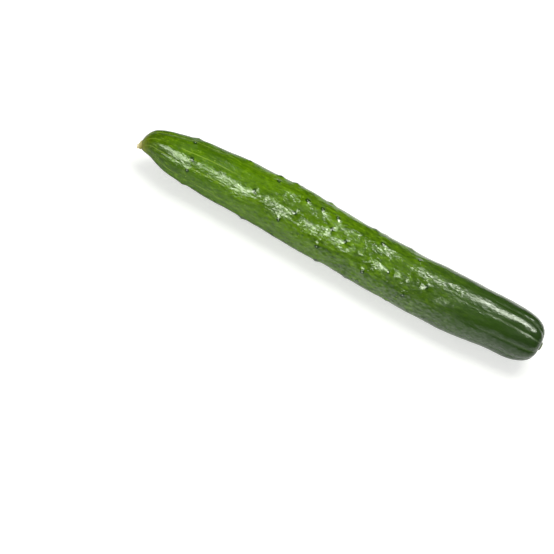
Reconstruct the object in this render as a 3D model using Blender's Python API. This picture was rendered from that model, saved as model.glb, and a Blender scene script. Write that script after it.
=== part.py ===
"""A slender Asian cucumber lying on its side, grown as one piece and built as one solid.

The fruit runs along X, blossom end at -X and cut stem at +X, and rests on a small flat spot at Z = 0.
A turned body gets rings of extra points round each wart. Every point is then moved by the formulas of
the skin: ribs, swells, warts, the bend of the fruit and the flat spot.
"""

import math
import random

import bmesh
import bpy
import numpy as np
from mathutils import Vector
from mathutils.kdtree import KDTree

MM = 0.001

# Overall length with nub and stem stub, and the radius where the fruit is thickest
LENGTH = 205 * MM
MAX_RADIUS = 13.4 * MM

# Each end closes in a dome, which a low power makes blunt, after the body has narrowed by a share
BLOSSOM_DOME = 30 * MM
BLOSSOM_POWER = 0.48
BLOSSOM_NARROWING = 0.2
BLOSSOM_NARROWING_LENGTH = 75 * MM
STEM_DOME = 14 * MM
STEM_POWER = 0.27
STEM_NARROWING = 0.13
STEM_NARROWING_LENGTH = 42 * MM

# The dried nub that the blossom leaves, and the stub where the stem was cut
NUB_RADIUS = 1.15 * MM
NUB_HEIGHT = 1.3 * MM
STUB_RADIUS = 2.2 * MM
STUB_HEIGHT = 0.9 * MM
STUB_DIMPLE = 0.35 * MM
BODY_LENGTH = LENGTH - NUB_HEIGHT - STUB_HEIGHT

# Bend of the centre line: a bow and an S sideways, and a rise at both ends
BOW = 0.2 * MM
SWAY = 2.1 * MM
ARCH = 1.5 * MM

# The nub's end turns to the front and down, and its dome leans that way; the stem end turns a little
HOOK = 3.1 * MM
HOOK_LENGTH = 6 * MM
HOOK_REACH = 1.2
HOOK_TILT = math.radians(38)
LEAN = 0.38
LEAN_LENGTH = 15 * MM
STEM_HOOK = 1.9 * MM
STEM_HOOK_LENGTH = 25 * MM

# Ten faint ribs that turn a little round the fruit, with furrows between them towards the ends
RIB_COUNT = 10
RIB_PHASE = math.radians(36)
RIB_TWIST = math.radians(12)
RIB_DEPTH = 0.06 * MM
FURROW_DEPTH_AT_STEM = 0.3 * MM
FURROW_DEPTH_AT_BLOSSOM = 0.13 * MM
FURROW_REACH = 42 * MM
RIB_FADE_RADIUS = 6 * MM

# Slow swells of the flesh: (depth, waves along the fruit, waves round it, phase)
SWELLS = (
    (0.14 * MM, 3.0, 0, 0.4),
    (0.12 * MM, 5.5, 2, 2.1),
    (0.10 * MM, 8.0, 3, 4.4),
    (0.07 * MM, 12.0, 5, 1.2),
)

# Warts sit in a row on each rib, close together in the middle and rare at the ends
WART_SEED = 4284
WART_RADIUS = 2.8 * MM
WART_HEIGHT = (0.14 * MM, 0.34 * MM)
TIP_RADIUS = 1.0 * MM
TIP_HEIGHT = 0.14 * MM
WART_GAP_STEPS = (3, 9)
WART_RINGS = (1.6 * MM, 0.65 * MM)
END_WART_SHARE = 0.6
END_GAP_FACTOR = 2
BLOSSOM_BARE = 12 * MM
BLOSSOM_SPARSE = 50 * MM
STEM_SPARSE = 75 * MM
STEM_BARE = 52 * MM
REST_BARE_COLUMNS = 2

# Flat spot that the fruit rests on: how deep the round is pressed in
REST_DEPTH = 0.32 * MM

# Fineness of the mesh: columns round the fruit, spacing of rings, and angle steps over each end
COLUMNS = 40
COLUMN_STEP = 2 * math.pi / COLUMNS
RING_SPACING = 2.6 * MM
END_STEP = 0.16
END_STEPS = 5
FIRST_INSET = 0.2 * MM
MERGE_DISTANCE = 0.001 * MM


def closing(from_pole, dome, power, narrowing, narrowing_length):
    """Share of the full radius near one end: a dome to a power, times a slow cosine narrowing."""
    inward = 1 - np.clip(from_pole / dome, 0, 1)
    slow = (1 + np.cos(np.pi * np.clip(from_pole / narrowing_length, 0, 1))) / 2
    return (1 - inward**2) ** power * (1 - narrowing * slow)


def body_radius(along):
    """Radius of the smooth body, by distance from its blossom pole: two blunt ends and an even middle."""
    blossom = closing(along, BLOSSOM_DOME, BLOSSOM_POWER, BLOSSOM_NARROWING, BLOSSOM_NARROWING_LENGTH)
    stem = closing(BODY_LENGTH - along, STEM_DOME, STEM_POWER, STEM_NARROWING, STEM_NARROWING_LENGTH)
    return MAX_RADIUS * blossom * stem


def end_distances(dome):
    """Distances from a pole that step evenly round its dome."""
    return [dome * (1 - math.cos(END_STEP * step)) for step in range(1, END_STEPS + 1)]


def even_rings():
    """First ring of the even middle, the number of steps there and their length."""
    first = end_distances(BLOSSOM_DOME)[-1]
    last = BODY_LENGTH - end_distances(STEM_DOME)[-1]
    steps = round((last - first) / RING_SPACING)
    return first, steps, (last - first) / steps


def profile():
    """Half outline of the turned body as (along, radius), from the nub's tip to the middle of the stem cut."""
    nub = [
        (-NUB_HEIGHT, 0),
        (-NUB_HEIGHT, 0.6 * NUB_RADIUS),
        (-0.75 * NUB_HEIGHT, 0.92 * NUB_RADIUS),
        (-0.25 * NUB_HEIGHT, NUB_RADIUS),
        (0.05 * NUB_HEIGHT, 1.35 * NUB_RADIUS),
    ]
    first, steps, step = even_rings()
    stations = end_distances(BLOSSOM_DOME)
    stations += [first + step * i for i in range(1, steps)]
    stations += [BODY_LENGTH - distance for distance in reversed(end_distances(STEM_DOME))]
    body = [(along, float(body_radius(along))) for along in stations]
    stub = [
        (BODY_LENGTH - STUB_DIMPLE, 1.6 * STUB_RADIUS),
        (BODY_LENGTH - STUB_DIMPLE, 1.15 * STUB_RADIUS),
        (BODY_LENGTH + 0.6 * STUB_HEIGHT, STUB_RADIUS),
        (BODY_LENGTH + STUB_HEIGHT, 0.85 * STUB_RADIUS),
        (BODY_LENGTH + 0.8 * STUB_HEIGHT, 0.5 * STUB_RADIUS),
        (BODY_LENGTH + 0.75 * STUB_HEIGHT, 0),
    ]
    return nub + body + stub


def wart_places():
    """(along, angle, height) of each wart. Angles start at the top and grow to the front."""
    draw = random.Random(WART_SEED)
    first, steps, step = even_rings()
    columns_per_rib = COLUMNS // RIB_COUNT
    phase_columns = round(RIB_PHASE / COLUMN_STEP)
    places = []
    for rib in range(RIB_COUNT):
        ring = draw.randint(*WART_GAP_STEPS)
        while first + ring * step < BODY_LENGTH - STEM_BARE:
            along = first + ring * step
            column = phase_columns + rib * columns_per_rib + draw.choice((-1, 0, 0, 1))
            height = draw.uniform(*WART_HEIGHT)
            at_end = along < BLOSSOM_SPARSE or along > BODY_LENGTH - STEM_SPARSE
            from_bottom = abs(column % COLUMNS - COLUMNS // 2)
            on_rest = from_bottom <= REST_BARE_COLUMNS
            if along > BLOSSOM_BARE and not on_rest:
                places.append((along, column * COLUMN_STEP, height * (END_WART_SHARE if at_end else 1)))
            ring += draw.randint(*WART_GAP_STEPS) * (END_GAP_FACTOR if at_end else 1)
    return places


def on_body(along, angle):
    """Point of the smooth body, before the skin's formulas move it."""
    radius = float(body_radius(along))
    return Vector((along, -radius * math.sin(angle), radius * math.cos(angle)))


def turned_body():
    """The profile spun round the X axis, closed at both poles."""
    bm = bmesh.new()
    outline = [bm.verts.new((along, 0, radius)) for along, radius in profile()]
    edges = [bm.edges.new(pair) for pair in zip(outline, outline[1:])]
    bmesh.ops.spin(
        bm,
        geom=outline + edges,
        cent=(0, 0, 0),
        axis=(1, 0, 0),
        angle=2 * math.pi,
        steps=COLUMNS,
        use_merge=True,
    )
    bmesh.ops.remove_doubles(bm, verts=bm.verts, dist=MERGE_DISTANCE)
    bmesh.ops.recalc_face_normals(bm, faces=bm.faces)
    return bm


def ring_warts(bm, places):
    """Insets the faces round each wart's centre, and sets the new points on circles round it."""
    tree = KDTree(len(bm.verts))
    for vertex in bm.verts:
        tree.insert(vertex.co, vertex.index)
    tree.balance()
    bm.verts.ensure_lookup_table()
    centres = [bm.verts[tree.find(on_body(along, angle))[1]] for along, angle, _ in places]
    for centre, (along, angle, _) in zip(centres, places):
        faces = list(centre.link_faces)
        radius = float(body_radius(along))
        for ring in WART_RINGS:
            bmesh.ops.inset_region(bm, faces=faces, thickness=FIRST_INSET, use_even_offset=True)
            rim = {vertex for face in faces for vertex in face.verts} - {centre}
            for vertex in rim:
                turn = math.atan2(-vertex.co.y, vertex.co.z) - angle
                across = radius * math.remainder(turn, 2 * math.pi)
                heading = math.atan2(across, vertex.co.x - along)
                vertex.co = on_body(
                    along + ring * math.cos(heading), angle + ring * math.sin(heading) / radius
                )


def wart_relief(along, angle, places):
    """Height of the warts: a low mound with a small pointed tip, both of the form (1 - distance^2)^2."""
    relief = np.zeros_like(along)
    for at, turn, height in places:
        across = np.remainder(angle - turn + np.pi, 2 * np.pi) - np.pi
        distance = np.hypot(along - at, across * body_radius(at))
        relief += height * np.clip(1 - (distance / WART_RADIUS) ** 2, 0, 1) ** 2
        relief += TIP_HEIGHT * np.clip(1 - (distance / TIP_RADIUS) ** 2, 0, 1) ** 2
    return relief


def rib_relief(along, angle):
    """Height of the ribs: a cosine round the fruit, and near each end broad crests with narrow furrows."""
    near_blossom = np.clip(1 - along / FURROW_REACH, 0, 1)
    near_stem = np.clip(1 - (BODY_LENGTH - along) / FURROW_REACH, 0, 1)
    furrow_depth = FURROW_DEPTH_AT_BLOSSOM * near_blossom + FURROW_DEPTH_AT_STEM * near_stem
    turn = RIB_COUNT * (angle - RIB_PHASE - RIB_TWIST * along / BODY_LENGTH)
    return RIB_DEPTH * np.cos(turn) + furrow_depth * (2 * np.abs(np.cos(turn / 2)) - 1)


def swell_relief(along, angle):
    """Height of the slow swells: a sum of waves along and round the fruit."""
    share = along / BODY_LENGTH
    return sum(
        depth * np.sin(2 * np.pi * waves * share + around * angle + phase)
        for depth, waves, around, phase in SWELLS
    )


def centre_line(along):
    """Sideways and upward shift of the fruit's middle: a bow, an S, an arch and the turn of each end."""
    share = np.clip(along / BODY_LENGTH, 0, 1)
    hook = HOOK * np.clip(1 - along / HOOK_LENGTH, 0, HOOK_REACH) ** 2
    stem_hook = STEM_HOOK * np.clip(1 - (BODY_LENGTH - along) / STEM_HOOK_LENGTH, 0, 1) ** 2
    sideways = BOW * np.sin(np.pi * share) + SWAY * np.sin(2 * np.pi * share)
    upward = MAX_RADIUS - REST_DEPTH + ARCH * (2 * share - 1) ** 2
    return sideways - hook * math.cos(HOOK_TILT) - stem_hook, upward - hook * math.sin(HOOK_TILT)


def skin_points(points, places):
    """Where the skin's formulas move points of the smooth body."""
    along, y, z = points.T
    angle = np.arctan2(-y, z)
    radius = np.hypot(y, z)
    relief = rib_relief(along, angle) + swell_relief(along, angle) + wart_relief(along, angle, places)
    radius = radius + relief * np.clip(radius / RIB_FADE_RADIUS, 0, 1) ** 2
    sideways, upward = centre_line(along)
    y = -radius * np.sin(angle)
    z = radius * np.cos(angle)
    lean = LEAN * np.clip(1 - along / LEAN_LENGTH, 0, 1)
    x = along - lean * (y * math.cos(HOOK_TILT) + z * math.sin(HOOK_TILT))
    moved = np.column_stack((x, sideways + y, np.maximum(upward + z, 0)))
    middle = (moved.min(axis=0) + moved.max(axis=0)) / 2
    return moved - (middle[0], middle[1], 0)


def skin_material():
    """Deep green waxy skin."""
    material = bpy.data.materials.new("cucumber_skin")
    material.use_nodes = True
    shader = material.node_tree.nodes["Principled BSDF"]
    shader.inputs["Base Color"].default_value = (0.09, 0.2, 0.02, 1)
    shader.inputs["Roughness"].default_value = 0.35
    shader.inputs["Metallic"].default_value = 0
    return material


def build_cucumber():
    """The whole fruit as one object."""
    places = wart_places()
    bm = turned_body()
    ring_warts(bm, places)
    mesh = bpy.data.meshes.new("cucumber")
    bm.to_mesh(mesh)
    bm.free()
    points = np.empty(len(mesh.vertices) * 3, np.float32)
    mesh.vertices.foreach_get("co", points)
    moved = skin_points(points.reshape(-1, 3).astype(float), places)
    mesh.vertices.foreach_set("co", moved.astype(np.float32).ravel())
    mesh.update()
    mesh.shade_smooth()
    mesh.materials.append(skin_material())
    cucumber = bpy.data.objects.new("cucumber", mesh)
    bpy.context.scene.collection.objects.link(cucumber)
    return cucumber


for old in list(bpy.data.objects):
    bpy.data.objects.remove(old)
build_cucumber()
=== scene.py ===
import itertools
import math
import random

import bpy
import numpy as np
from mathutils import Matrix, Vector


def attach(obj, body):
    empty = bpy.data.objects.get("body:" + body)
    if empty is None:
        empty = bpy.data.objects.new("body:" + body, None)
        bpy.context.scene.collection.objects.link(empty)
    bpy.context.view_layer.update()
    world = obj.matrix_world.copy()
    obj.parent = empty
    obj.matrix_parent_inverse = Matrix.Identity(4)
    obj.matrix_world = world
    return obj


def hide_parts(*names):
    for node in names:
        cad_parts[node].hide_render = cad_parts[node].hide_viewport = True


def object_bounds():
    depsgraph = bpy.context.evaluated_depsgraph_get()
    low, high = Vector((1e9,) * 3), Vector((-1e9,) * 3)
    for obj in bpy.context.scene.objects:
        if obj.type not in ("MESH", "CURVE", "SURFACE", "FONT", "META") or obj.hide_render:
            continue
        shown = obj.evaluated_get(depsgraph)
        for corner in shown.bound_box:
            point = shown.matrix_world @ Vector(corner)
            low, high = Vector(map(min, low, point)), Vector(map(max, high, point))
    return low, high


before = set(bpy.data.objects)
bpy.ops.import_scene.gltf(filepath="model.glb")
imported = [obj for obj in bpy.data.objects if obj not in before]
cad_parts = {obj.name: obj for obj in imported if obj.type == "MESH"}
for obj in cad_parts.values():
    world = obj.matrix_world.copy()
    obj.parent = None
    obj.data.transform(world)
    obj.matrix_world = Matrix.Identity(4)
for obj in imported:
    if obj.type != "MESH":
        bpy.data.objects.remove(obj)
cad_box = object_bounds()

# The fruit: one solid body with ribs, slow swells and low warts under a thin waxy skin.
# It is worked out as rings of points along the fruit, moved by the same formulas as the solid that it
# replaces, and then by finer ones for the dimples that break up the shine.

MM = 0.001

# Length over nub and stub, and the greatest radius. Each end narrows by a share and closes in a dome,
# which a low power makes blunt
LENGTH = 205 * MM
MAX_RADIUS = 13.4 * MM
BLOSSOM_DOME = 30 * MM
BLOSSOM_POWER = 0.48
BLOSSOM_NARROWING = 0.2
BLOSSOM_NARROWING_LENGTH = 75 * MM
STEM_DOME = 14 * MM
STEM_POWER = 0.27
STEM_NARROWING = 0.13
STEM_NARROWING_LENGTH = 42 * MM

# The dried nub that the blossom leaves, and the stub where the stem was cut
NUB_RADIUS = 1.15 * MM
NUB_HEIGHT = 1.3 * MM
STUB_RADIUS = 2.2 * MM
STUB_HEIGHT = 0.9 * MM
STUB_DIMPLE = 0.35 * MM
BODY_LENGTH = LENGTH - NUB_HEIGHT - STUB_HEIGHT

# Bend of the centre line: a bow and an S sideways, a rise at both ends, and a turn at each end
BOW = 0.2 * MM
SWAY = 2.1 * MM
ARCH = 1.5 * MM
HOOK = 3.1 * MM
HOOK_LENGTH = 6 * MM
HOOK_REACH = 1.2
HOOK_TILT = math.radians(38)
LEAN = 0.38
LEAN_LENGTH = 15 * MM
STEM_HOOK = 1.9 * MM
STEM_HOOK_LENGTH = 25 * MM

# How deep the round is pressed flat where it rests
REST_DEPTH = 0.32 * MM

# Faint ribs that turn a little round the fruit, with furrows between them towards the ends
RIB_COUNT = 10
RIB_PHASE = math.radians(36)
RIB_TWIST = math.radians(12)
RIB_DEPTH = 0.06 * MM
FURROW_DEPTH_AT_STEM = 0.3 * MM
FURROW_DEPTH_AT_BLOSSOM = 0.13 * MM
FURROW_REACH = 42 * MM
FURROW_SHARPNESS = 0.45
RIB_FADE_RADIUS = 6 * MM

# Slow swells of the flesh: (depth, waves along the fruit, waves round it, phase)
SWELLS = (
    (0.14 * MM, 3.0, 0, 0.4),
    (0.12 * MM, 5.5, 2, 2.1),
    (0.10 * MM, 8.0, 3, 4.4),
    (0.07 * MM, 12.0, 5, 1.2),
)

# Warts sit in a row on each rib, close together in the middle and rare at the ends. Each is a mound with
# a tip, whose last rise is left to the dry nib that stands on it
WART_SEED = 4284
WART_RADIUS = 2.8 * MM
WART_HEIGHT = (0.14 * MM, 0.34 * MM)
TIP_RADIUS = 1.0 * MM
TIP_HEIGHT = 0.14 * MM
NIB_RISE = 0.06 * MM
END_WART_SHARE = 0.6
END_GAP_FACTOR = 2
BLOSSOM_BARE = 12 * MM
BLOSSOM_SPARSE = 50 * MM
STEM_SPARSE = 75 * MM
STEM_BARE = 52 * MM
REST_BARE_COLUMNS = 2

# They are placed on a grid: columns round the fruit, and rings about this far apart between two that lie
# a few turned steps, in radians, into each dome
WART_COLUMNS = 40
WART_STEP = 2.6 * MM
WART_GAP_STEPS = (3, 9)
DOME_STEP = 0.16
DOME_STEPS = 5


def closing(from_pole, dome, power, narrowing, narrowing_length):
    """Share of the full radius near one end: a dome to a power, times a slow cosine narrowing."""
    inward = 1 - np.clip(from_pole / dome, 0, 1)
    slow = (1 + np.cos(np.pi * np.clip(from_pole / narrowing_length, 0, 1))) / 2
    return (1 - inward**2) ** power * (1 - narrowing * slow)


def body_radius(along):
    """Radius of the smooth body, by distance from its blossom pole: two blunt ends and an even middle."""
    blossom = closing(along, BLOSSOM_DOME, BLOSSOM_POWER, BLOSSOM_NARROWING, BLOSSOM_NARROWING_LENGTH)
    stem = closing(BODY_LENGTH - along, STEM_DOME, STEM_POWER, STEM_NARROWING, STEM_NARROWING_LENGTH)
    return MAX_RADIUS * blossom * stem


def wart_places():
    """(along, angle, height) of each wart, by a seeded walk along each rib. Angles start at the top."""
    draw = random.Random(WART_SEED)
    first = BLOSSOM_DOME * (1 - math.cos(DOME_STEP * DOME_STEPS))
    last = BODY_LENGTH - STEM_DOME * (1 - math.cos(DOME_STEP * DOME_STEPS))
    step = (last - first) / round((last - first) / WART_STEP)
    column_angle = 2 * math.pi / WART_COLUMNS
    places = []
    for rib in range(RIB_COUNT):
        ring = draw.randint(*WART_GAP_STEPS)
        while first + ring * step < BODY_LENGTH - STEM_BARE:
            along = first + ring * step
            column = round(RIB_PHASE / column_angle) + rib * WART_COLUMNS // RIB_COUNT
            column += draw.choice((-1, 0, 0, 1))
            height = draw.uniform(*WART_HEIGHT)
            at_end = along < BLOSSOM_SPARSE or along > BODY_LENGTH - STEM_SPARSE
            from_bottom = abs(column % WART_COLUMNS - WART_COLUMNS // 2)
            if along > BLOSSOM_BARE and from_bottom > REST_BARE_COLUMNS:
                height = height * (END_WART_SHARE if at_end else 1)
                places.append((along, column * column_angle, height))
            ring += draw.randint(*WART_GAP_STEPS) * (END_GAP_FACTOR if at_end else 1)
    return places


WARTS = wart_places()


def wart_relief(along, angle):
    """Height of the warts, a mound and a small tip of the form (1 - distance^2)^2, and closeness to one."""
    relief = np.zeros_like(along)
    closeness = np.zeros_like(along)
    for at, turn, height in WARTS:
        near = np.abs(along - at) < 2 * WART_RADIUS
        across = np.remainder(angle[near] - turn + np.pi, 2 * np.pi) - np.pi
        distance = np.hypot(along[near] - at, across * body_radius(at))
        mound = np.clip(1 - (distance / WART_RADIUS) ** 2, 0, 1) ** 2
        tip = np.clip(1 - (distance / TIP_RADIUS) ** 2, 0, 1) ** 2
        relief[near] += height * mound + (TIP_HEIGHT - NIB_RISE) * tip
        closeness[near] = np.maximum(closeness[near], 1 - distance / WART_RADIUS)
    return relief, np.clip(closeness, 0, 1)


def rib_relief(along, angle):
    """Height of the ribs: a cosine round the fruit, and near each end broad crests with narrow furrows."""
    near_blossom = np.clip(1 - along / FURROW_REACH, 0, 1)
    near_stem = np.clip(1 - (BODY_LENGTH - along) / FURROW_REACH, 0, 1)
    furrow_depth = FURROW_DEPTH_AT_BLOSSOM * near_blossom + FURROW_DEPTH_AT_STEM * near_stem
    turn = RIB_COUNT * (angle - RIB_PHASE - RIB_TWIST * along / BODY_LENGTH)
    furrows = 2 * np.abs(np.cos(turn / 2)) ** FURROW_SHARPNESS - 1
    return RIB_DEPTH * np.cos(turn) + furrow_depth * furrows


def swell_relief(along, angle):
    """Height of the slow swells: a sum of waves along and round the fruit."""
    share = along / BODY_LENGTH
    return sum(
        depth * np.sin(2 * np.pi * waves * share + around * angle + phase)
        for depth, waves, around, phase in SWELLS
    )


LATTICE_VALUES = 4096
LATTICE_PRIMES = (73856093, 19349663, 83492791)


def lattice_noise(x, y, z, seed):
    """Smooth noise from -1 to 1: random values on a lattice, blended by smoothstep inside each cell."""
    values = np.random.default_rng(seed).uniform(-1, 1, LATTICE_VALUES)
    corners = [np.floor(axis).astype(np.int64) for axis in (x, y, z)]
    places = [axis - corner for axis, corner in zip((x, y, z), corners)]
    total = np.zeros_like(x)
    for steps in itertools.product((0, 1), repeat=3):
        weight = np.ones_like(x)
        key = np.zeros_like(corners[0])
        for step, place, corner, prime in zip(steps, places, corners, LATTICE_PRIMES):
            smooth = place * place * (3 - 2 * place)
            weight = weight * (smooth if step else 1 - smooth)
            key = key ^ ((corner + step) * prime)
        total += weight * values[key & (LATTICE_VALUES - 1)]
    return total


# Finer dimples, only ever inwards: (depth, size across, how much longer along the fruit, seed)
DIMPLES = (
    (0.34 * MM, 5.2 * MM, 2.6, 1),
    (0.10 * MM, 2.1 * MM, 2.8, 2),
    (0.16 * MM, 1.0 * MM, 2.2, 3),
)

# How strong the dimples are at places along the fruit
DIMPLE_PLACES = (0 * MM, 45 * MM, 90 * MM, 140 * MM, 165 * MM, 190 * MM)
DIMPLE_STRENGTHS = (0.75, 0.85, 1.15, 1.05, 0.62, 0.35)


def dimple_relief(along, angle, radius):
    """Depth of the fine dimples: three sizes of noise in space, weaker towards the stem end."""
    y = -radius * np.sin(angle)
    z = radius * np.cos(angle)
    depth = sum(
        size_depth * (1 + lattice_noise(along / size / longer, y / size, z / size, seed)) / 2
        for size_depth, size, longer, seed in DIMPLES
    )
    return -depth * np.interp(along, DIMPLE_PLACES, DIMPLE_STRENGTHS)


def centre_line(along):
    """Sideways and upward shift of the fruit's middle: a bow, an S, an arch and the turn of each end."""
    share = np.clip(along / BODY_LENGTH, 0, 1)
    hook = HOOK * np.clip(1 - along / HOOK_LENGTH, 0, HOOK_REACH) ** 2
    stem_hook = STEM_HOOK * np.clip(1 - (BODY_LENGTH - along) / STEM_HOOK_LENGTH, 0, 1) ** 2
    sideways = BOW * np.sin(np.pi * share) + SWAY * np.sin(2 * np.pi * share)
    upward = MAX_RADIUS - REST_DEPTH + ARCH * (2 * share - 1) ** 2
    return sideways - hook * math.cos(HOOK_TILT) - stem_hook, upward - hook * math.sin(HOOK_TILT)


# Points of the solid this near its stem end lie on the rim of the cut. They are rounded to this many
# digits, so that a point that several triangles share counts once
RIM_REACH = 0.01 * MM
POINT_DIGITS = 7


def cad_shift():
    """How far the solid was moved to centre its box: read from the ring of points round its stem cut."""
    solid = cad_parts["cucumber"].data
    points = np.empty(len(solid.vertices) * 3, np.float32)
    solid.vertices.foreach_get("co", points)
    points = points.reshape(-1, 3)
    end = points[:, 0].max()
    rim = np.unique(np.round(points[points[:, 0] > end - RIM_REACH], POINT_DIGITS), axis=0)
    sideways, _ = centre_line(BODY_LENGTH + STUB_HEIGHT)
    return end - BODY_LENGTH - STUB_HEIGHT, rim[:, 1].mean() - sideways


SHIFT_X, SHIFT_Y = cad_shift()


def placed(along, angle, radius):
    """Points at a radius and angle round the bent centre line, pressed flat where the fruit rests."""
    sideways, upward = centre_line(along)
    y = -radius * np.sin(angle)
    z = radius * np.cos(angle)
    lean = LEAN * np.clip(1 - along / LEAN_LENGTH, 0, 1)
    x = along - lean * (y * math.cos(HOOK_TILT) + z * math.sin(HOOK_TILT))
    return np.stack((x + SHIFT_X, sideways + y + SHIFT_Y, np.maximum(upward + z, 0)), axis=-1)


def skin_surface(along, angle, radius):
    """Points of the finished skin, and how close each is to a wart, by distance along and angle."""
    warts, closeness = wart_relief(along, angle)
    relief = rib_relief(along, angle) + swell_relief(along, angle) + warts
    relief = relief + dimple_relief(along, angle, radius) * (1 - closeness)
    fade = np.clip(radius / RIB_FADE_RADIUS, 0, 1) ** 2
    return placed(along, angle, radius + relief * fade), closeness


def add_surface(name, points, along_share):
    """A closed mesh from rings of points, with a pole in place of the first and of the last ring.

    Its UV map holds the share of the way along it and the share of a turn around it.
    """
    rows, columns = points.shape[:2]
    vertices = np.concatenate((points[:1, 0], points[1:-1].reshape(-1, 3), points[-1:, 0]))
    row = np.arange(rows - 3)[:, None]
    column = np.arange(columns)[None, :]
    after = (column + 1) % columns
    low = 1 + row * columns
    quads = np.stack((low + column, low + after, low + columns + after, low + columns + column), axis=-1)
    ring = np.arange(columns)
    ring_after = (ring + 1) % columns
    last = len(vertices) - 1
    last_ring = 1 + (rows - 3) * columns
    first_fan = np.stack((np.zeros(columns, int), 1 + ring_after, 1 + ring), axis=-1)
    last_fan = np.stack((np.full(columns, last), last_ring + ring, last_ring + ring_after), axis=-1)
    mesh = bpy.data.meshes.new(name)
    faces = quads.reshape(-1, 4).tolist() + first_fan.tolist() + last_fan.tolist()
    mesh.from_pydata(vertices.tolist(), [], faces)

    around = np.arange(columns + 1) / columns
    along_grid = np.broadcast_to(along_share[1:-1, None], (rows - 2, columns + 1))
    around_grid = np.broadcast_to(around, (rows - 2, columns + 1))
    grid = np.stack((along_grid, around_grid), axis=-1)
    quad_uv = np.stack((grid[:-1, :-1], grid[:-1, 1:], grid[1:, 1:], grid[1:, :-1]), axis=2)
    middle = np.full(columns, 0.5 / columns) + around[:-1]
    first_pole = np.stack((np.full(columns, along_share[0]), middle), axis=-1)
    last_pole = np.stack((np.full(columns, along_share[-1]), middle), axis=-1)
    first_uv = np.stack((first_pole, grid[0, 1:], grid[0, :-1]), axis=1)
    last_uv = np.stack((last_pole, grid[-1, :-1], grid[-1, 1:]), axis=1)
    uv = np.concatenate([part.reshape(-1, 2) for part in (quad_uv, first_uv, last_uv)])
    mesh.uv_layers.new(name="along_around").data.foreach_set("uv", uv.astype(np.float32).ravel())
    mesh.shade_smooth()
    piece = bpy.data.objects.new(name, mesh)
    bpy.context.scene.collection.objects.link(piece)
    return piece


def add_point_values(piece, name, values):
    """Keeps one number for each ring point, with the value of the first and last ring at their pole."""
    flat = np.concatenate((values[:1, 0], values[1:-1].ravel(), values[-1:, 0]))
    attribute = piece.data.attributes.new(name, "FLOAT", "POINT")
    attribute.data.foreach_set("value", flat.astype(np.float32))


SKIN_COLUMNS = 152
BLOSSOM_ROWS = 92
MIDDLE_ROWS = 480
STEM_ROWS = 64
STEM_CROWDING = 1.6

# The skin ends in a shallow dimple under the foot of the stub
STUB_FOOT_RADIUS = 1.65 * STUB_RADIUS
STUB_DIMPLE_RADIUS = 1.5 * STUB_RADIUS
DIMPLE_ROWS = 6

blossom_turn = np.linspace(0, np.pi / 2, BLOSSOM_ROWS, endpoint=False)
stem_turn = np.pi / 2 * np.linspace(1, 0, STEM_ROWS, endpoint=False) ** STEM_CROWDING
skin_along = np.concatenate(
    (
        BLOSSOM_DOME * (1 - np.cos(blossom_turn)),
        np.linspace(BLOSSOM_DOME, BODY_LENGTH - STEM_DOME, MIDDLE_ROWS, endpoint=False),
        BODY_LENGTH - STEM_DOME * (1 - np.cos(stem_turn)),
    )
)
skin_radius = body_radius(skin_along)
kept = (skin_radius > STUB_FOOT_RADIUS) | (skin_along < BLOSSOM_DOME)
skin_along = skin_along[kept]
skin_radius = skin_radius[kept]
into_dimple = np.linspace(0, 1, DIMPLE_ROWS)
skin_along = np.append(skin_along, BODY_LENGTH - STUB_DIMPLE * np.sin(np.pi / 2 * into_dimple))
skin_radius = np.append(skin_radius, STUB_DIMPLE_RADIUS * (1 - into_dimple))

skin_turn = 2 * np.pi * np.arange(SKIN_COLUMNS) / SKIN_COLUMNS
grid_along = np.repeat(skin_along[:, None], SKIN_COLUMNS, axis=1)
grid_radius = np.repeat(skin_radius[:, None], SKIN_COLUMNS, axis=1)
grid_turn = np.repeat(skin_turn[None, :], len(skin_along), axis=0)
skin_points, skin_closeness = skin_surface(grid_along, grid_turn, grid_radius)
skin = add_surface("cucumber_skin", skin_points, skin_along / BODY_LENGTH)
add_point_values(skin, "wart", skin_closeness)


def new_material(name):
    """An empty node material with its Principled shader."""
    material = bpy.data.materials.new(name)
    material.use_nodes = True
    return material, material.node_tree, material.node_tree.nodes["Principled BSDF"]


def add_node(tree, kind, inputs=None, **settings):
    """A node with its settings, and its inputs set to values or linked to other nodes' outputs."""
    node = tree.nodes.new(kind)
    for name, value in settings.items():
        setattr(node, name, value)
    for name, value in (inputs or {}).items():
        if isinstance(value, bpy.types.NodeSocket):
            tree.links.new(value, node.inputs[name])
        else:
            node.inputs[name].default_value = value
    return node


def math_node(tree, operation, first, second=0.0):
    """One arithmetic step on one or two numbers or outputs."""
    return add_node(tree, "ShaderNodeMath", {0: first, 1: second}, operation=operation).outputs[0]


def plus(tree, first, second):
    """The sum of two numbers or outputs."""
    return math_node(tree, "ADD", first, second)


def minus(tree, first, second):
    """The difference of two numbers or outputs."""
    return math_node(tree, "SUBTRACT", first, second)


def times(tree, first, second):
    """The product of two numbers or outputs."""
    return math_node(tree, "MULTIPLY", first, second)


def range_node(tree, value, low, high, to_low=0.0, to_high=1.0):
    """Maps a number from one range to another, held at both ends, on a smooth curve."""
    inputs = {"Value": value, "From Min": low, "From Max": high, "To Min": to_low, "To Max": to_high}
    node = add_node(tree, "ShaderNodeMapRange", inputs, interpolation_type="SMOOTHSTEP")
    return node.outputs["Result"]


def mix_node(tree, share, first, second):
    """Blends two colours by a share. On this node, colours are inputs 6 and 7 and output 2."""
    inputs = {0: share, 6: first, 7: second}
    return add_node(tree, "ShaderNodeMix", inputs, data_type="RGBA").outputs[2]


def ramp_node(tree, value, stops):
    """A colour that changes along a number, by (place, colour) stops."""
    node = add_node(tree, "ShaderNodeValToRGB", {"Fac": value})
    ramp = node.color_ramp
    for place, _ in stops[1:-1]:
        ramp.elements.new(place)
    for element, (place, colour) in zip(ramp.elements, stops):
        element.position = place
        element.color = colour
    return node.outputs["Color"]


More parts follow.
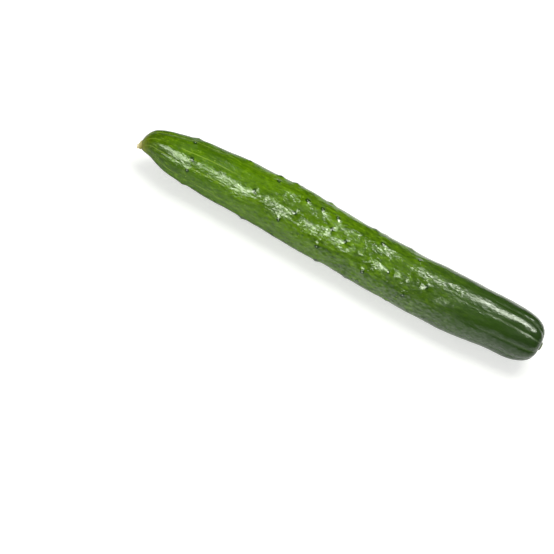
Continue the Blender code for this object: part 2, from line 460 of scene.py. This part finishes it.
# Colours of the skin from the blossom end to the stem end
SKIN_COLOURS = (
    (0.0, (0.36, 0.32, 0.045, 1)),
    (0.008, (0.2, 0.24, 0.012, 1)),
    (0.02, (0.085, 0.165, 0.001, 1)),
    (0.07, (0.08, 0.18, 0.0005, 1)),
    (0.17, (0.086, 0.2, 0.0005, 1)),
    (0.3, (0.102, 0.22, 0.0005, 1)),
    (0.47, (0.098, 0.21, 0.001, 1)),
    (0.57, (0.076, 0.17, 0.002, 1)),
    (0.65, (0.07, 0.155, 0.003, 1)),
    (0.74, (0.046, 0.106, 0.005, 1)),
    (0.83, (0.034, 0.082, 0.008, 1)),
    (0.92, (0.026, 0.06, 0.010, 1)),
    (1.0, (0.024, 0.05, 0.014, 1)),
)

# Colours of the dark mottles and of the painted shade in the creases, of flecks, streaks and veins, of
# speckles,
# and of the warts: a dark spot with painted shade round it, and a painted glint on the tip
DARK_MOTTLE_AND_CREASE_SHADE_GREEN = (0.022, 0.062, 0.003, 1)
FLECK_GREEN = (0.19, 0.36, 0.008, 1)
STREAK_GREEN = (0.27, 0.42, 0.03, 1)
VEIN_GREEN = (0.16, 0.23, 0.09, 1)
SPECKLE_GREEN = (0.30, 0.44, 0.05, 1)
WART_SPOT_AND_SHADE_GREEN = (0.014, 0.045, 0.004, 1)
TIP_GLINT_GREEN = (0.2, 0.3, 0.14, 1)

# Fineness of each pattern in cells per metre, and the scale that makes most of them longer along the fruit
FURROW_WANDER_FINENESS = 60
PATCH_FINENESS = 120
STREAK_BREAK_FINENESS = 150
SHEEN_FINENESS = 260
SPECKLE_FINENESS = 330
RIPPLE_FINENESS = 330
MOTTLE_FINENESS = 700
GRAIN_FINENESS = 950
WAX_FINENESS = 1300
STRETCH = (0.45, 1, 1)

# Strength of each effect, and the true height of ripples and grain
PATCH_SHIFT = 0.2
FURROW_WANDER = 1.6
STREAK_STRENGTH = 0.75
CREASE_SHADE = 0.5
CREASE_ROUGHNESS = 0.14
VEIN_STRENGTH = 0.3
SPECKLE_STRENGTH = 0.6
WART_RAGGEDNESS = 0.7
RIPPLE_DEPTH = 0.22 * MM
GRAIN_DEPTH = 0.2 * MM

# Where a pattern starts and ends, in its own values: (start, end), with the results there if they aren't
# 0 and 1. The wave round the fruit reaches -1 in each furrow
PATCH_EDGE = (0.48, 0.66, 0, 0.35)
MOTTLE_EDGE = (0.5, 0.66)
FLECK_EDGE = (0.47, 0.35, 0, 0.58)
STREAK_LINE = (-0.955, -0.995)
STREAK_BREAKS = (0.36, 0.56)
CREASE_LINE = (-0.7, -1.0)
VEIN_LINE = (-0.988, -0.9995)
SPECKLE_EDGE = (0.05, 0.16, 1, 0)
SPECKLE_CHOICE = (0.72, 0.8)
WART_EDGE = (0.88, 1.06, 0, 0.88)
TIP_EDGE = (0.82, 0.96, 0, 0.6)
SHEEN_EDGE = (0.35, 0.65, 0.12, 0.2)
WAX_EDGE = (0.4, 0.62, -0.35, 0.45)

# How effects change along the fruit, 0 at the blossom end and 1 at the stem end, given the same way
MOTTLES_ALONG = (0.1, 0.45, 0.34, 0.6)
FLECKS_ALONG = (0.9, 0.5)
STREAKS_ALONG = (0.05, 0.4, 1, 0.05)
CREASES_ALONG = (0.8, 0.95)
SPECKLES_ALONG = (0.85, 0.6)
ROUGHER_AT_STEM = (0.55, 0.8, 0, 0.06)
ROUGHER_AT_BLOSSOM = (0.05, 0.35, 0.04, 0)
WAX_AT_STEM = (0.65, 0.9, 1, 0.4)
WAX_AT_BLOSSOM = (0.1, 0.4, 0.3, 1)
SHINE_ALONG = (0.05, 0.3, 0.39, 0.5)
CALM_AT_STEM = (0.72, 0.9, 1, 0.75)


def noise_node(tree, coordinates, scale, detail=2.0, roughness=0.5):
    """Noise from 0 to 1 on the given coordinates."""
    inputs = {"Vector": coordinates, "Scale": scale, "Detail": detail, "Roughness": roughness}
    return add_node(tree, "ShaderNodeTexNoise", inputs).outputs["Fac"]


def furrow_wave(tree, stretched, along, around):
    """A cosine round the fruit that turns with its ribs: -1 in each furrow, and wandering a little."""
    rib_shift = times(tree, along, RIB_TWIST / (2 * math.pi))
    rib_place = minus(tree, minus(tree, around, rib_shift), RIB_PHASE / (2 * math.pi))
    rib_turn = times(tree, rib_place, 2 * math.pi * RIB_COUNT)
    wandering = noise_node(tree, stretched, FURROW_WANDER_FINENESS, detail=1)
    wobble = times(tree, minus(tree, wandering, 0.5), FURROW_WANDER)
    return math_node(tree, "COSINE", plus(tree, rib_turn, wobble))


def mottled_greens(tree, stretched, along, mottles):
    """The greens along the fruit, shifted in patches, with dark mottles and light flecks."""
    patches = noise_node(tree, stretched, PATCH_FINENESS, detail=3)
    shift = times(tree, minus(tree, patches, 0.5), along)
    colour = ramp_node(tree, plus(tree, along, times(tree, shift, PATCH_SHIFT)), SKIN_COLOURS)
    dark = times(tree, range_node(tree, mottles, *MOTTLE_EDGE), range_node(tree, along, *MOTTLES_ALONG))
    colour = mix_node(tree, dark, colour, DARK_MOTTLE_AND_CREASE_SHADE_GREEN)
    flecks = times(tree, range_node(tree, mottles, *FLECK_EDGE), range_node(tree, along, *FLECKS_ALONG))
    colour = mix_node(tree, flecks, colour, FLECK_GREEN)
    return mix_node(tree, range_node(tree, patches, *PATCH_EDGE), colour, DARK_MOTTLE_AND_CREASE_SHADE_GREEN)


def with_furrow_lines(tree, colour, stretched, along, in_furrow, creases):
    """Adds broken pale streaks near the blossom, and near the stem painted shade in the creases with a pale
    vein.
    """
    stripes = range_node(tree, in_furrow, *STREAK_LINE)
    breaks = range_node(tree, noise_node(tree, stretched, STREAK_BREAK_FINENESS, detail=3), *STREAK_BREAKS)
    streaks = times(tree, times(tree, stripes, breaks), range_node(tree, along, *STREAKS_ALONG))
    colour = mix_node(tree, times(tree, streaks, STREAK_STRENGTH), colour, STREAK_GREEN)
    # Painted shade: the creases near the stem end are darkened
    colour = mix_node(tree, times(tree, creases, CREASE_SHADE), colour, DARK_MOTTLE_AND_CREASE_SHADE_GREEN)
    veins = times(tree, range_node(tree, in_furrow, *VEIN_LINE), range_node(tree, along, *CREASES_ALONG))
    return mix_node(tree, times(tree, veins, VEIN_STRENGTH), colour, VEIN_GREEN)


def with_speckles(tree, colour, place, along):
    """Adds small pale speckles in some cells of a Voronoi pattern."""
    inputs = {"Vector": place, "Scale": SPECKLE_FINENESS, "Randomness": 1.0}
    cells = add_node(tree, "ShaderNodeTexVoronoi", inputs).outputs
    dots = range_node(tree, cells["Distance"], *SPECKLE_EDGE)
    draw = add_node(tree, "ShaderNodeSeparateXYZ", {"Vector": cells["Color"]}).outputs["X"]
    dots = times(tree, dots, range_node(tree, draw, *SPECKLE_CHOICE))
    dots = times(tree, dots, range_node(tree, along, *SPECKLES_ALONG))
    return mix_node(tree, times(tree, dots, SPECKLE_STRENGTH), colour, SPECKLE_GREEN)


def with_warts(tree, colour, mottles):
    """Adds a dark ragged ring on each wart, partly its own dark spot and partly painted shade where its
    slopes turn the shine away, and a pale tip that is a painted glint.
    """
    closeness = add_node(tree, "ShaderNodeAttribute", attribute_name="wart").outputs["Fac"]
    ragged = plus(tree, closeness, times(tree, mottles, WART_RAGGEDNESS))
    # Dark ring round each wart's tip: partly its own colour, partly painted shade where the mound turns the
    # shine away
    colour = mix_node(tree, range_node(tree, ragged, *WART_EDGE), colour, WART_SPOT_AND_SHADE_GREEN)
    # Painted highlight: the top of each wart is paler, as a glint
    return mix_node(tree, range_node(tree, closeness, *TIP_EDGE), colour, TIP_GLINT_GREEN)


def wax_roughness(tree, stretched, along, creases):
    """Roughness of the wax: uneven, and more in the creases and towards both ends."""
    sheen = range_node(tree, noise_node(tree, stretched, SHEEN_FINENESS, detail=3), *SHEEN_EDGE)
    sheen = plus(tree, sheen, range_node(tree, along, *ROUGHER_AT_STEM))
    sheen = plus(tree, sheen, range_node(tree, along, *ROUGHER_AT_BLOSSOM))
    return plus(tree, sheen, times(tree, creases, CREASE_ROUGHNESS))


def wax_reflection(tree, stretched, along):
    """Strength of the shine: grains of thick and thin wax, more even towards both ends."""
    grains = noise_node(tree, stretched, WAX_FINENESS, detail=2, roughness=0.6)
    wax = range_node(tree, grains, *WAX_EDGE)
    wax = times(tree, wax, range_node(tree, along, *WAX_AT_STEM))
    wax = times(tree, wax, range_node(tree, along, *WAX_AT_BLOSSOM))
    return plus(tree, wax, range_node(tree, along, *SHINE_ALONG))


def skin_grain(tree, stretched, along):
    """Height of fine ripples and of a finer grain, calmer towards the stem end."""
    ripples = times(tree, noise_node(tree, stretched, RIPPLE_FINENESS), RIPPLE_DEPTH)
    grain = times(tree, noise_node(tree, stretched, GRAIN_FINENESS, detail=3, roughness=0.6), GRAIN_DEPTH)
    return times(tree, plus(tree, ripples, grain), range_node(tree, along, *CALM_AT_STEM))


def skin_finish():
    """Waxy green skin: mottled greens with lines, speckles and warts, and a grain that breaks the shine."""
    material, tree, shader = new_material("cucumber_skin")
    coordinates = add_node(tree, "ShaderNodeTexCoord").outputs
    place = coordinates["Object"]
    inputs = {"Vector": place, "Scale": STRETCH}
    stretched = add_node(tree, "ShaderNodeMapping", inputs).outputs["Vector"]
    parts = add_node(tree, "ShaderNodeSeparateXYZ", {"Vector": coordinates["UV"]}).outputs
    along = parts["X"]
    mottles = noise_node(tree, stretched, MOTTLE_FINENESS, detail=3, roughness=0.65)
    in_furrow = furrow_wave(tree, stretched, along, parts["Y"])
    near_stem = range_node(tree, along, *CREASES_ALONG)
    creases = times(tree, range_node(tree, in_furrow, *CREASE_LINE), near_stem)

    colour = mottled_greens(tree, stretched, along, mottles)
    colour = with_furrow_lines(tree, colour, stretched, along, in_furrow, creases)
    colour = with_speckles(tree, colour, place, along)
    colour = with_warts(tree, colour, mottles)
    tree.links.new(colour, shader.inputs["Base Color"])
    tree.links.new(wax_roughness(tree, stretched, along, creases), shader.inputs["Roughness"])
    tree.links.new(wax_reflection(tree, stretched, along), shader.inputs["Specular IOR Level"])

    # The heights are true ones in metres, so the distance is 1
    inputs = {"Height": skin_grain(tree, stretched, along), "Distance": 1.0}
    bump = add_node(tree, "ShaderNodeBump", inputs)
    tree.links.new(bump.outputs["Normal"], shader.inputs["Normal"])
    return material


skin.data.materials.append(skin_finish())
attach(skin, "root")
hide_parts("cucumber")

# The spine stubs: each wart of a fresh fruit ends in the dry base of a spine that has rubbed off.
# They are small pale nibs sunk into the tips of the warts, square to the skin; their paleness is partly a
# painted glint.

NIB_RADIUS = 0.21 * MM
NIB_DEPTH = 0.3 * MM
NIB_SIDES = 10
NIB_RINGS = 5
NIB_BLUNTNESS = 0.6

# Length over which the slope of the skin is taken at a wart's tip
SLOPE_STEP = 0.6 * MM


def skin_point(along, angle, relief):
    """One point above the smooth body."""
    single = np.array([along]), np.array([angle])
    height = rib_relief(*single) + swell_relief(*single) + relief
    return placed(single[0], single[1], body_radius(single[0]) + height)[0]


def nib_frames():
    """Tip, outward direction and two directions across the skin for each wart, by steps on the surface."""
    for along, angle, height in WARTS:
        top = height + TIP_HEIGHT - NIB_RISE
        base = skin_point(along, angle, top)
        ahead = skin_point(along + SLOPE_STEP, angle, top) - base
        beside = skin_point(along, angle + SLOPE_STEP / MAX_RADIUS, top) - base
        outward = np.cross(beside, ahead)
        ahead, beside, outward = (axis / np.linalg.norm(axis) for axis in (ahead, beside, outward))
        yield base, outward, ahead, np.cross(outward, ahead)


def nib_shapes():
    """Rounded cones: the radius falls by a cosine from the sunk base to the tip."""
    rise = np.linspace(0, 1, NIB_RINGS)
    radius = NIB_RADIUS * np.cos(rise * np.pi / 2) ** NIB_BLUNTNESS
    height = -NIB_DEPTH + (NIB_DEPTH + NIB_RISE) * np.sin(rise * np.pi / 2)
    turn = 2 * np.pi * np.arange(NIB_SIDES) / NIB_SIDES
    for base, outward, ahead, beside in nib_frames():
        circle = np.cos(turn)[:, None] * ahead + np.sin(turn)[:, None] * beside
        yield base + radius[:, None, None] * circle + height[:, None, None] * outward


def add_nibs():
    """All the nibs as one mesh, each closed below by a flat cap and above by a fan."""
    vertices, faces = [], []
    ring = np.arange(NIB_SIDES)
    after = (ring + 1) % NIB_SIDES
    for rings in nib_shapes():
        start = len(vertices)
        vertices += rings[:-1].reshape(-1, 3).tolist() + [rings[-1, 0].tolist()]
        for level in range(NIB_RINGS - 2):
            low = start + level * NIB_SIDES
            high = low + NIB_SIDES
            faces += np.stack((low + ring, low + after, high + after, high + ring), axis=-1).tolist()
        top_ring = start + (NIB_RINGS - 2) * NIB_SIDES
        tip = np.full(NIB_SIDES, top_ring + NIB_SIDES)
        faces += np.stack((top_ring + ring, top_ring + after, tip), axis=-1).tolist()
        faces.append((start + ring[::-1]).tolist())
    mesh = bpy.data.meshes.new("cucumber_spine_stubs")
    mesh.from_pydata(vertices, [], faces)
    mesh.shade_smooth()
    piece = bpy.data.objects.new("cucumber_spine_stubs", mesh)
    bpy.context.scene.collection.objects.link(piece)
    return piece


# The pale colour is partly that of dry fibre and partly a painted glint on each wart's tip
NIB_PALE_AND_GLINT = (0.66, 0.72, 0.62, 1)
NIB_SHADE = (0.3, 0.36, 0.26, 1)
NIB_FINENESS = 500
NIB_SHADE_EDGE = (0.4, 0.6)
NIB_ROUGHNESS = 0.3


def nib_finish():
    """Pale dry plant fibre with a green cast, made paler than the fibre alone as a painted glint on each
    wart's tip.
    """
    material, tree, shader = new_material("cucumber_spine_stub")
    place = add_node(tree, "ShaderNodeTexCoord")
    spread = noise_node(tree, place.outputs["Object"], NIB_FINENESS)
    colour = mix_node(tree, range_node(tree, spread, *NIB_SHADE_EDGE), NIB_PALE_AND_GLINT, NIB_SHADE)
    tree.links.new(colour, shader.inputs["Base Color"])
    shader.inputs["Roughness"].default_value = NIB_ROUGHNESS
    return material


nibs = add_nibs()
nibs.data.materials.append(nib_finish())
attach(nibs, "root")

# The nub: the dried base of the blossom, a wrinkled button of cork-like tissue at the blossom end.
# It grows out of the skin there, so its foot is sunk into the fruit.

NUB_SINK = 0.7 * MM
NUB_INSET = 0.1 * MM
NUB_COLUMNS = 48
NUB_ROWS = 22
NUB_LOBES = 5
NUB_LOBE_DEPTH = 0.1
NUB_FOOT_SPREAD = 0.9 * MM
NUB_FOOT_POWER = 3

# Shares of the way from foot to tip where the neck starts, where it turns into the rim, and where the
# button is highest, and then the depth of the hollow, the bulge of the neck and how square the rim is
NUB_NECK = 0.35
NUB_RIM = 0.7
NUB_TOP = 0.82
NUB_HOLLOW = 0.28
NUB_BULGE = 0.12
NUB_RIM_POWER = 2.2


def nub_surface(share, angle):
    """A button from foot to tip: a flared foot, an even neck and a rounded rim round a shallow hollow."""
    neck = np.clip((share - NUB_NECK) / (NUB_RIM - NUB_NECK), 0, 1)
    rim = np.clip((share - NUB_RIM) / (1 - NUB_RIM), 0, 1)
    along = NUB_SINK - (NUB_SINK + NUB_HEIGHT - NUB_INSET) * np.clip(share / NUB_TOP, 0, 1)
    along = along + NUB_HOLLOW * NUB_HEIGHT * np.clip((share - NUB_TOP) / (1 - NUB_TOP), 0, 1) ** 2
    radius = NUB_RADIUS * (1 - NUB_BULGE + NUB_BULGE * np.sin(np.pi * neck))
    radius = radius + NUB_FOOT_SPREAD * (1 - neck) ** NUB_FOOT_POWER
    radius = radius * np.sqrt(np.clip(1 - rim**NUB_RIM_POWER, 0, 1))
    lobes = 1 + NUB_LOBE_DEPTH * (np.cos(NUB_LOBES * angle) * share - share)
    return along, radius * lobes


def add_turned_piece(name, surface, rows, columns):
    """A piece of rings from foot to tip, from a formula for its distance along the fruit and its radius."""
    share = np.linspace(0, 1, rows)
    share_grid = np.repeat(share[:, None], columns, axis=1)
    turn_grid = np.repeat(2 * np.pi * np.arange(columns)[None, :] / columns, rows, axis=0)
    along, radius = surface(share_grid, turn_grid)
    radius[0] = 0
    return add_surface(name, placed(along, turn_grid, radius), share)


nub = add_turned_piece("cucumber_blossom_nub", nub_surface, NUB_ROWS, NUB_COLUMNS)
# Its rings run against the fruit's, so its faces come out inwards and are turned
nub.data.flip_normals()

# Depth and strength of the wrinkles in dry fibre
FIBRE_RELIEF = 0.2 * MM
FIBRE_STRENGTH = 0.7


def dry_fibre_group():
    """Fine wrinkles of dry fibre: a share moved about by noise, and the same noise as relief."""
    group = bpy.data.node_groups.new("dry_fibre", "ShaderNodeTree")
    group.interface.new_socket("Place", in_out="INPUT", socket_type="NodeSocketVector")
    for name in ("Share", "Fineness", "Spread"):
        group.interface.new_socket(name, in_out="INPUT", socket_type="NodeSocketFloat")
    group.interface.new_socket("Share", in_out="OUTPUT", socket_type="NodeSocketFloat")
    group.interface.new_socket("Normal", in_out="OUTPUT", socket_type="NodeSocketVector")
    given = add_node(group, "NodeGroupInput").outputs
    rough = noise_node(group, given["Place"], given["Fineness"], detail=4, roughness=0.6)
    moved = times(group, minus(group, rough, 0.5), given["Spread"])
    inputs = {"Height": rough, "Strength": FIBRE_STRENGTH, "Distance": FIBRE_RELIEF}
    bump = add_node(group, "ShaderNodeBump", inputs)
    share = plus(group, given["Share"], moved)
    add_node(group, "NodeGroupOutput", {"Share": share, "Normal": bump.outputs["Normal"]})
    return group


DRY_FIBRE = dry_fibre_group()


def fibre_finish(name, fineness, spread, roughness, stops):
    """Dry fibre coloured by the share of the way from foot to tip."""
    material, tree, shader = new_material(name)
    place = add_node(tree, "ShaderNodeTexCoord")
    share = add_node(tree, "ShaderNodeSeparateXYZ", {"Vector": place.outputs["UV"]}).outputs["X"]
    inputs = {"Place": place.outputs["Object"], "Share": share, "Fineness": fineness, "Spread": spread}
    fibre = add_node(tree, "ShaderNodeGroup", inputs, node_tree=DRY_FIBRE)
    tree.links.new(ramp_node(tree, fibre.outputs["Share"], stops), shader.inputs["Base Color"])
    tree.links.new(fibre.outputs["Normal"], shader.inputs["Normal"])
    shader.inputs["Roughness"].default_value = roughness
    return material


def nub_finish():
    """Olive at the foot, cream on the neck and brown in the hollow, with fine wrinkles."""
    stops = (
        (0.0, (0.3, 0.3, 0.05, 1)),
        (0.35, (0.5, 0.44, 0.12, 1)),
        (0.6, (0.84, 0.73, 0.42, 1)),
        (0.85, (0.76, 0.6, 0.33, 1)),
        (1.0, (0.3, 0.18, 0.08, 1)),
    )
    return fibre_finish("cucumber_blossom_nub", fineness=2200, spread=0.3, roughness=0.6, stops=stops)


nub.data.materials.append(nub_finish())
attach(nub, "root")

# The stub: what is left of the stem where the fruit was cut from the vine, five-ridged and woody green.
# Its cut face shows pale pith inside a ring of darker strands.

STUB_SINK = 1.2 * MM
STUB_COLUMNS = 60
STUB_ROWS = 26
STUB_RIDGES = 5
STUB_RIDGE_DEPTH = 0.07
STUB_HOLLOW = 0.25
STUB_TAPER = 0.1

# Share of the way from foot to middle where the sides end and the cut face starts
STUB_RIM = 0.5


def stub_surface(share, angle):
    """A short post from its sunk foot to its cut: ridged sides that taper a little, and a sunk middle."""
    side = np.clip(share / STUB_RIM, 0, 1)
    face = np.clip((share - STUB_RIM) / (1 - STUB_RIM), 0, 1)
    hollow = STUB_HOLLOW * STUB_HEIGHT * np.sin(np.pi / 2 * face) ** 2
    along = BODY_LENGTH + STUB_HEIGHT - (STUB_SINK + STUB_HEIGHT) * (1 - side) - hollow
    radius = STUB_RADIUS * (1 - STUB_TAPER * side**3) * (1 - face)
    ridges = 1 - STUB_RIDGE_DEPTH * (1 - np.cos(STUB_RIDGES * angle)) / 2 * (1 - face)
    return along, radius * ridges


stub = add_turned_piece("cucumber_stem_stub", stub_surface, STUB_ROWS, STUB_COLUMNS)


def stub_finish():
    """Dark green sides, a cream rim, a ring of darker strands and pale pith on the cut."""
    stops = (
        (0.0, (0.03, 0.075, 0.02, 1)),
        (0.42, (0.05, 0.1, 0.03, 1)),
        (0.5, (0.45, 0.42, 0.2, 1)),
        (0.62, (0.22, 0.25, 0.1, 1)),
        (0.72, (0.1, 0.12, 0.045, 1)),
        (0.82, (0.5, 0.48, 0.26, 1)),
        (1.0, (0.4, 0.34, 0.18, 1)),
    )
    return fibre_finish("cucumber_stem_stub", fineness=1500, spread=0.14, roughness=0.55, stops=stops)


stub.data.materials.append(stub_finish())
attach(stub, "root")

# The table: a wide sheet of matt white paper under the fruit, which also shows in the shine of its lower
# side. It glows a little, more towards its edges, so that it is white right across the picture.

TABLE_SIZE = 6.0
PAPER_WHITE = (0.64, 0.64, 0.65, 1)
GLOW_WHITE = (1, 1, 1, 1)
PAPER_ROUGHNESS = 0.8
PAPER_SPECULAR = 0.1

# How much the sheet glows in reflections, by place along the fruit, and to the camera, by distance from
# its middle: (start, end, glow at the start, glow at the end)
SHINE_GLOW = (-60 * MM, 60 * MM, 0.0, 0.54)
CAMERA_GLOW = (0.3, 1.5, 0.55, 1.0)


def table_finish():
    """Matt white paper that stays white far off, with a glow in the shine that grows towards the stem."""
    material, tree, shader = new_material("table")
    path = add_node(tree, "ShaderNodeLightPath")
    place = add_node(tree, "ShaderNodeTexCoord").outputs["Object"]
    along = add_node(tree, "ShaderNodeSeparateXYZ", {"Vector": place}).outputs["X"]
    away = add_node(tree, "ShaderNodeVectorMath", {0: place}, operation="LENGTH").outputs["Value"]
    in_shine = times(tree, range_node(tree, along, *SHINE_GLOW), path.outputs["Is Glossy Ray"])
    to_camera = times(tree, range_node(tree, away, *CAMERA_GLOW), path.outputs["Is Camera Ray"])
    tree.links.new(plus(tree, in_shine, to_camera), shader.inputs["Emission Strength"])
    shader.inputs["Emission Color"].default_value = GLOW_WHITE
    shader.inputs["Base Color"].default_value = PAPER_WHITE
    shader.inputs["Roughness"].default_value = PAPER_ROUGHNESS
    shader.inputs["Specular IOR Level"].default_value = PAPER_SPECULAR
    return material


half = TABLE_SIZE / 2
table_mesh = bpy.data.meshes.new("table")
corners = [(-half, -half, 0), (half, -half, 0), (half, half, 0), (-half, half, 0)]
table_mesh.from_pydata(corners, [], [(0, 1, 2, 3)])
table_mesh.materials.append(table_finish())
table = bpy.data.objects.new("table", table_mesh)
bpy.context.scene.collection.objects.link(table)

# The camera: in front of the fruit and above it, square to its length, and turned so that the fruit
# slopes down to the right across the picture.

VIEW_ELEVATION = math.radians(52)
VIEW_ROLL = math.radians(27.2)
VIEW_DISTANCE = 0.75
LENS = 107.0
SENSOR_WIDTH = 36.0
FRUIT_RIGHT_OF_MIDDLE = 29 * MM
FRUIT_ABOVE_MIDDLE = 16 * MM

box_low, box_high = cad_box
fruit_middle = (box_low + box_high) / 2
view_back = Vector((0, -math.cos(VIEW_ELEVATION), math.sin(VIEW_ELEVATION)))
level_right = Vector((1, 0, 0))
level_up = view_back.cross(level_right)
view_right = level_right * math.cos(VIEW_ROLL) + level_up * math.sin(VIEW_ROLL)
view_up = level_up * math.cos(VIEW_ROLL) - level_right * math.sin(VIEW_ROLL)
camera = bpy.data.objects.new("camera", bpy.data.cameras.new("camera"))
camera.data.lens = LENS
camera.data.sensor_width = SENSOR_WIDTH
view_place = fruit_middle + view_back * VIEW_DISTANCE
view_place = view_place - view_right * FRUIT_RIGHT_OF_MIDDLE - view_up * FRUIT_ABOVE_MIDDLE
view_turn = Matrix((view_right, view_up, view_back)).transposed().to_4x4()
camera.matrix_world = Matrix.Translation(view_place) @ view_turn
bpy.context.scene.collection.objects.link(camera)
bpy.context.scene.camera = camera

# The lights: a long softbox in front makes the shine along the blossom half, and one behind the shine near
# the stem end. Both show only in reflections. Two fill lights show in none and light the skin itself.

# (name, direction from the fruit, distance, width, height, turn in degrees, brightness, colour)
SHINE_LIGHTS = (
    ("front_shine", (-0.41, -0.595, 0.655), 0.96, 0.74, 0.46, -14.0, 14.8, (0.92, 1.0, 0.8)),
    ("back_shine", (0.53, 0.30, 1.14), 1.29, 0.84, 0.5, 0.0, 19.0, (0.95, 1.0, 0.87)),
)
FILL_LIGHTS = (
    ("top_fill", (0.0, 0.25, 1.0), 1.2, 0.9, 0.7, 0.0, 5.5, (0.97, 1.0, 0.9)),
    ("front_fill", (-0.1, -0.8, 0.5), 1.0, 0.6, 0.5, 0.0, 3.5, (0.97, 1.0, 0.9)),
)


def add_softbox(name, direction, distance, width, height, turn, brightness, colour):
    """A rectangular light that faces the fruit, with its width along the fruit before its turn."""
    away = Vector(direction).normalized()
    across = (Vector((1, 0, 0)) - away * away.x).normalized()
    data = bpy.data.lights.new(name, "AREA")
    data.shape = "RECTANGLE"
    data.size = width
    data.size_y = height
    data.energy = brightness * math.pi * width * height
    data.color = colour
    light = bpy.data.objects.new(name, data)
    place = Matrix.Translation(fruit_middle + away * distance)
    facing = Matrix((across, away.cross(across), away)).transposed().to_4x4()
    light.matrix_world = place @ facing @ Matrix.Rotation(math.radians(turn), 4, "Z")
    light.visible_camera = False
    bpy.context.scene.collection.objects.link(light)
    return light


for softbox in SHINE_LIGHTS:
    add_softbox(*softbox).visible_diffuse = False
for softbox in FILL_LIGHTS:
    add_softbox(*softbox).visible_glossy = False


ROOM_LIGHT = (0.3, 0.3, 0.3, 1)
ROOM_IN_SHINE = (0.03, 0.03, 0.013, 1)
BACKDROP_WHITE = (1.0, 1.0, 1.0, 1)


def set_surroundings():
    """A white backdrop for the camera, and a dim even room for the light that falls on the fruit."""
    world = bpy.data.worlds.new("room")
    world.use_nodes = True
    tree = world.node_tree
    path = add_node(tree, "ShaderNodeLightPath")
    backdrop = tree.nodes["Background"]
    colour = mix_node(tree, path.outputs["Is Glossy Ray"], ROOM_LIGHT, ROOM_IN_SHINE)
    colour = mix_node(tree, path.outputs["Is Camera Ray"], colour, BACKDROP_WHITE)
    tree.links.new(colour, backdrop.inputs["Color"])
    bpy.context.scene.world = world


set_surroundings()
bpy.context.scene.view_settings.view_transform = "Standard"
